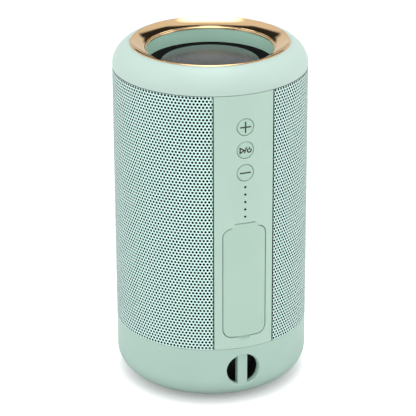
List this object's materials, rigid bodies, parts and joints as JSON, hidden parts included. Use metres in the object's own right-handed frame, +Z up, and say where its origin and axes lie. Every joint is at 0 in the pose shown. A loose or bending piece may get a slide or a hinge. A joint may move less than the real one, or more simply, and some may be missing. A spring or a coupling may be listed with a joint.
{
  "type": "portable bluetooth speaker",
  "caption": "Cylindrical portable speaker with a perforated wrap, key strip, rubber port door, lanyard eye and an upward bass radiator in a gold funnel ring.",
  "frame": {"origin": "middle of the rubber foot's resting face", "axes": "+Z up along the cylinder; the control panel and port door face -Y; the drivers fire along +X and -X"},
  "size_m": [0.081, 0.081, 0.1483],
  "materials": {
    "mint_plastic": "satin",
    "mint_rubber": "matte",
    "painted_grille": "satin",
    "black_cloth": "matte",
    "black_plastic": "matte",
    "black_rubber": "matte",
    "foam_gasket": "matte",
    "clear_plastic": "gloss",
    "circuit_board": "gloss",
    "led_package": "gloss",
    "steel_parts": "satin",
    "brass_spacer": "satin",
    "battery_wrap": "gloss",
    "chip_resin": "matte",
    "capacitor_can": "satin",
    "white_plastic": "matte",
    "red_wire": "gloss",
    "dark_steel": "satin",
    "magnet_steel": "satin",
    "paper_cone": "matte",
    "spider_cloth": "matte",
    "grey_metal": "satin",
    "gold_metal": "polished"
  },
  "bodies": {
    "root": {"base_cup": "mint_plastic", "lanyard_pocket": "black_plastic", "foot_ring": "black_rubber", "base_screws": "steel_parts", "acoustic_housing": "black_plastic", "grille": "painted_grille", "acoustic_cloth": "black_cloth", "control_panel": "mint_plastic", "key_gasket": "foam_gasket", "light_guide": "clear_plastic", "key_board": "circuit_board", "tact_switches": "black_plastic", "status_leds": "led_package", "microphone": "steel_parts", "cover_strap": "mint_rubber", "port_tray": "black_plastic", "tray_gasket": "foam_gasket", "port_board": "circuit_board", "aux_jack": "black_plastic", "card_slot": "steel_parts", "usb_socket": "steel_parts", "battery_cells": "battery_wrap", "battery_holder": "black_plastic", "pcb_spacers": "brass_spacer", "main_board": "circuit_board", "bluetooth_module": "steel_parts", "amplifier_chip": "chip_resin", "capacitors": "capacitor_can", "board_screws": "steel_parts", "lead_connectors": "white_plastic", "speaker_leads": "red_wire", "driver_gaskets": "foam_gasket", "driver_screws": "steel_parts", "left_driver_basket": "dark_steel", "left_driver_magnet": "magnet_steel", "left_driver_surround": "black_rubber", "left_driver_spider": "spider_cloth", "right_driver_basket": "dark_steel", "right_driver_magnet": "magnet_steel", "right_driver_surround": "black_rubber", "right_driver_spider": "spider_cloth", "radiator_gasket": "foam_gasket", "radiator_frame": "black_plastic", "radiator_screws": "steel_parts", "radiator_surround": "black_rubber", "top_cap": "mint_plastic", "trim_ring": "gold_metal"},
    "play_key": {"play_button": "mint_rubber", "play_plunger": "black_plastic"},
    "volume_up_key": {"volume_up_button": "mint_rubber", "volume_up_plunger": "black_plastic"},
    "volume_down_key": {"volume_down_button": "mint_rubber", "volume_down_plunger": "black_plastic"},
    "port_door": {"port_cover": "mint_rubber"},
    "radiator": {"radiator_plate": "grey_metal"},
    "left_cone": {"left_driver_cone": "paper_cone"},
    "right_cone": {"right_driver_cone": "paper_cone"}
  },
  "joints": [
    {"name": "volume_up_press", "type": "slide", "parent": "root", "child": "volume_up_key", "axis": [0, 1, 0], "range_m": [0, 0.0005], "stiffness_N_per_m": 2400, "springref_m": -0.0002},
    {"name": "play_press", "type": "slide", "parent": "root", "child": "play_key", "axis": [0, 1, 0], "range_m": [0, 0.0005], "stiffness_N_per_m": 2400, "springref_m": -0.0002},
    {"name": "volume_down_press", "type": "slide", "parent": "root", "child": "volume_down_key", "axis": [0, 1, 0], "range_m": [0, 0.0005], "stiffness_N_per_m": 2400, "springref_m": -0.0002},
    {"name": "port_door_hinge", "type": "hinge", "parent": "root", "child": "port_door", "pos_m": [0, -0.04, 0.0809], "axis": [-1, 0, 0], "range_deg": [0, 120], "stiffness_Nm_per_rad": 0.0003, "springref_deg": -8.59, "deforming": ["cover_strap"]},
    {"name": "radiator_travel", "type": "slide", "parent": "root", "child": "radiator", "axis": [0, 0, 1], "range_m": [-0.0025, 0.0025], "stiffness_N_per_m": 1000, "deforming": ["radiator_surround"]},
    {"name": "left_cone_travel", "type": "slide", "parent": "root", "child": "left_cone", "axis": [-1, 0, 0], "range_m": [-0.0015, 0.0015], "stiffness_N_per_m": 900, "deforming": ["left_driver_surround", "left_driver_spider"]},
    {"name": "right_cone_travel", "type": "slide", "parent": "root", "child": "right_cone", "axis": [1, 0, 0], "range_m": [-0.0015, 0.0015], "stiffness_N_per_m": 900, "deforming": ["right_driver_surround", "right_driver_spider"]}
  ]
}
